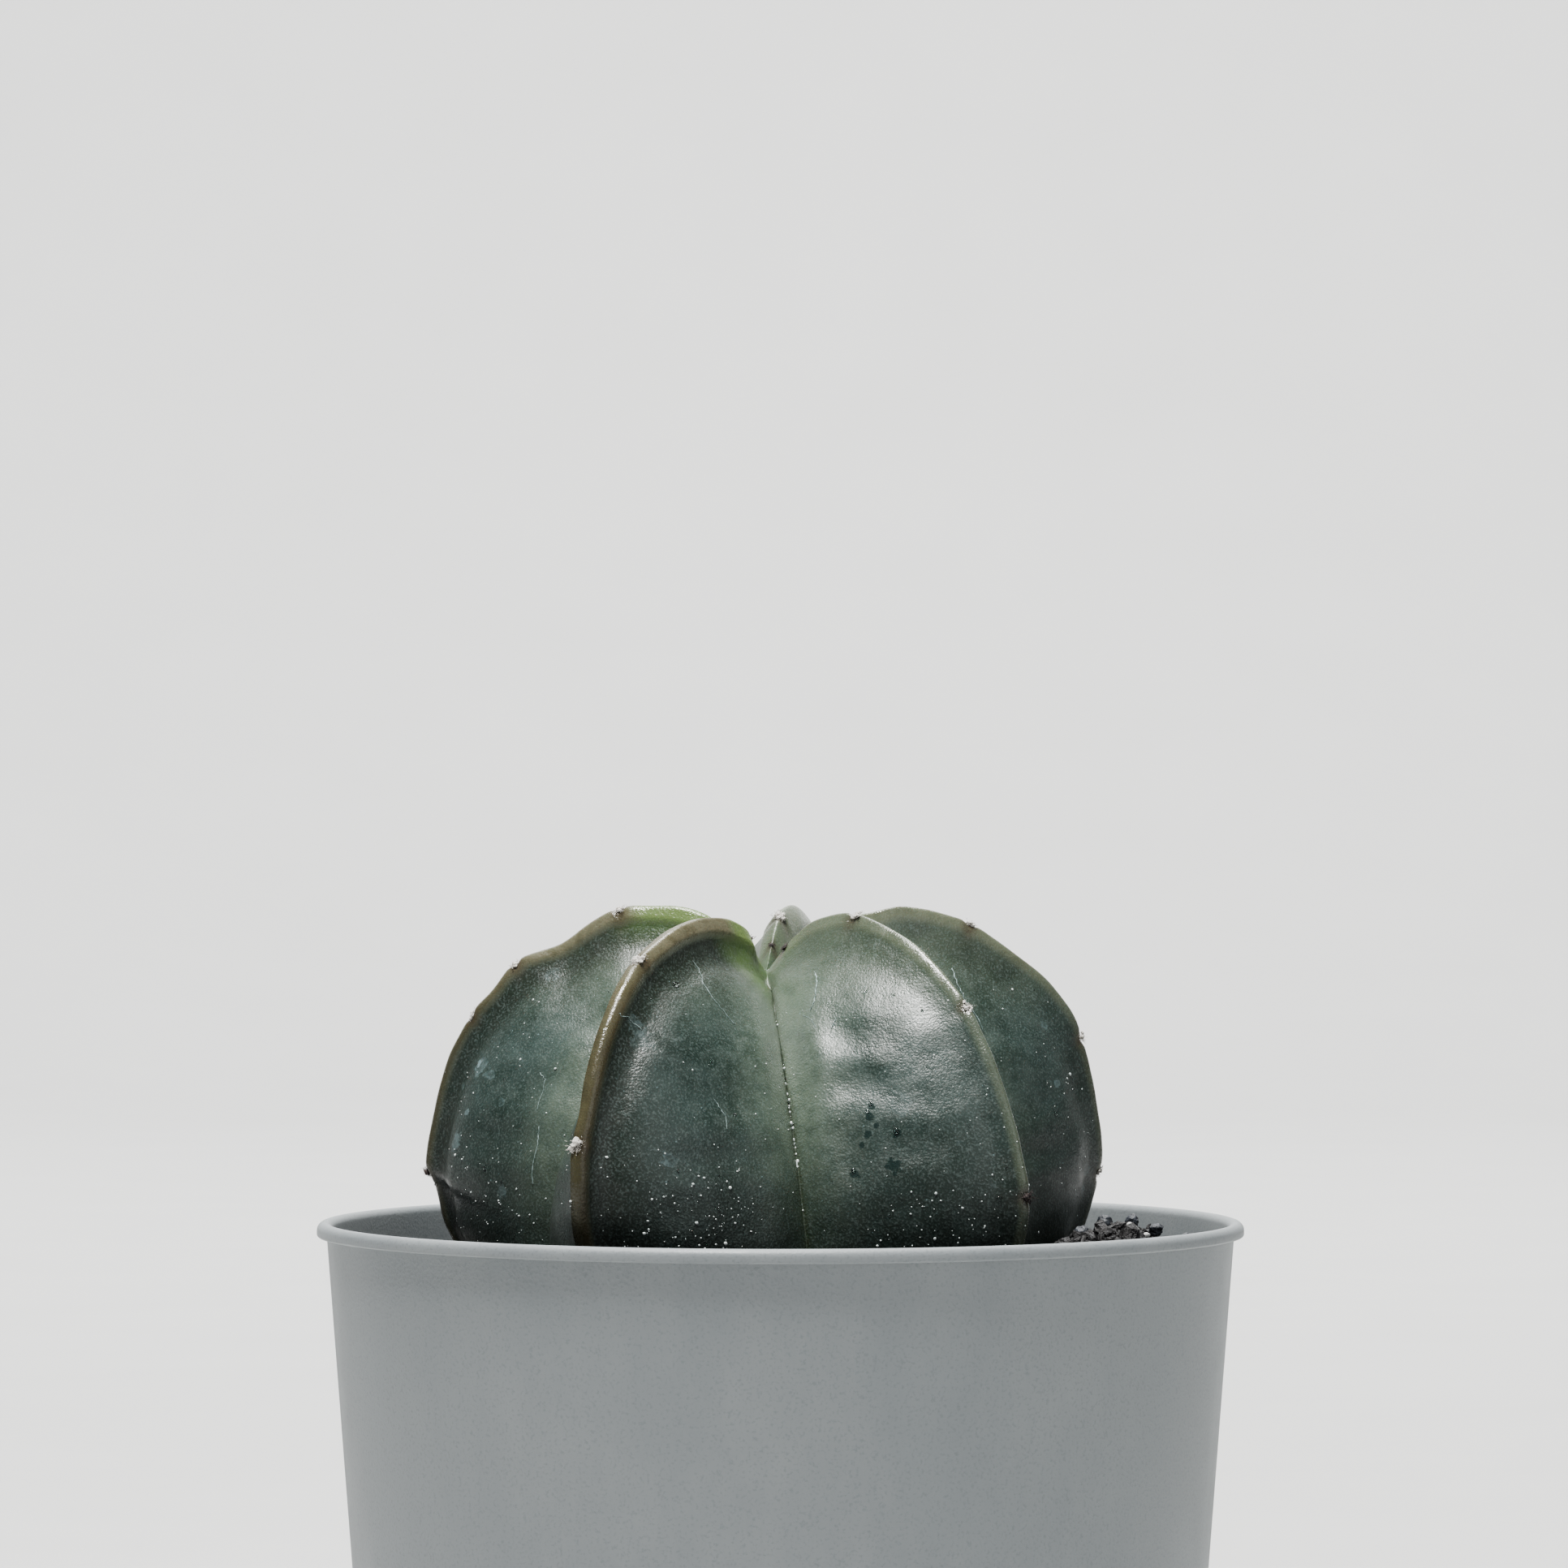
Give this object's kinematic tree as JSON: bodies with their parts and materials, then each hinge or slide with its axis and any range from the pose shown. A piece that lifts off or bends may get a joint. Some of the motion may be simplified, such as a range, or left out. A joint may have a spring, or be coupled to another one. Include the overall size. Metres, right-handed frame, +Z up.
{
  "type": "potted bishops cap cactus",
  "caption": "Low, wide ribbed star-shaped cactus with woolly areoles along its crests, rooted in potting mix in a round thin-walled pot with a rolled rim.",
  "frame": {"origin": "centre of the pot's underside, on the plane that the foot ring stands on", "axes": "+Z up; -Y towards the side that shows the groove between the two front ribs; +X to the right as seen from that side"},
  "size_m": [0.105, 0.105, 0.124],
  "materials": {
    "pot": "satin",
    "soil": "matte",
    "cactus_skin": "satin",
    "areole_wool": "matte",
    "perlite": "matte",
    "gravel": "matte"
  },
  "bodies": {
    "root": {"areole_back_1": "areole_wool", "areole_back_2": "areole_wool", "areole_back_3": "areole_wool", "areole_back_4": "areole_wool", "areole_front_left_1": "areole_wool", "areole_front_left_2": "areole_wool", "areole_front_left_3": "areole_wool", "areole_front_right_1": "areole_wool", "areole_front_right_2": "areole_wool", "areole_front_right_3": "areole_wool", "areole_front_right_4": "areole_wool", "areole_left_1": "areole_wool", "areole_left_2": "areole_wool", "areole_left_3": "areole_wool", "areole_left_4": "areole_wool", "areole_left_5": "areole_wool", "areole_right_1": "areole_wool", "areole_right_2": "areole_wool", "areole_right_3": "areole_wool", "areole_right_4": "areole_wool", "cactus_body": "cactus_skin", "gravel_1": "gravel", "gravel_10": "gravel", "gravel_11": "gravel", "gravel_12": "gravel", "gravel_2": "gravel", "gravel_3": "gravel", "gravel_4": "gravel", "gravel_5": "gravel", "gravel_6": "gravel", "gravel_7": "gravel", "gravel_8": "gravel", "gravel_9": "gravel", "perlite_1": "perlite", "perlite_2": "perlite", "perlite_3": "perlite", "perlite_4": "perlite", "perlite_5": "perlite", "perlite_6": "perlite", "perlite_7": "perlite", "perlite_8": "perlite", "pot": "pot", "soil": "soil"}
  },
  "joints": []
}
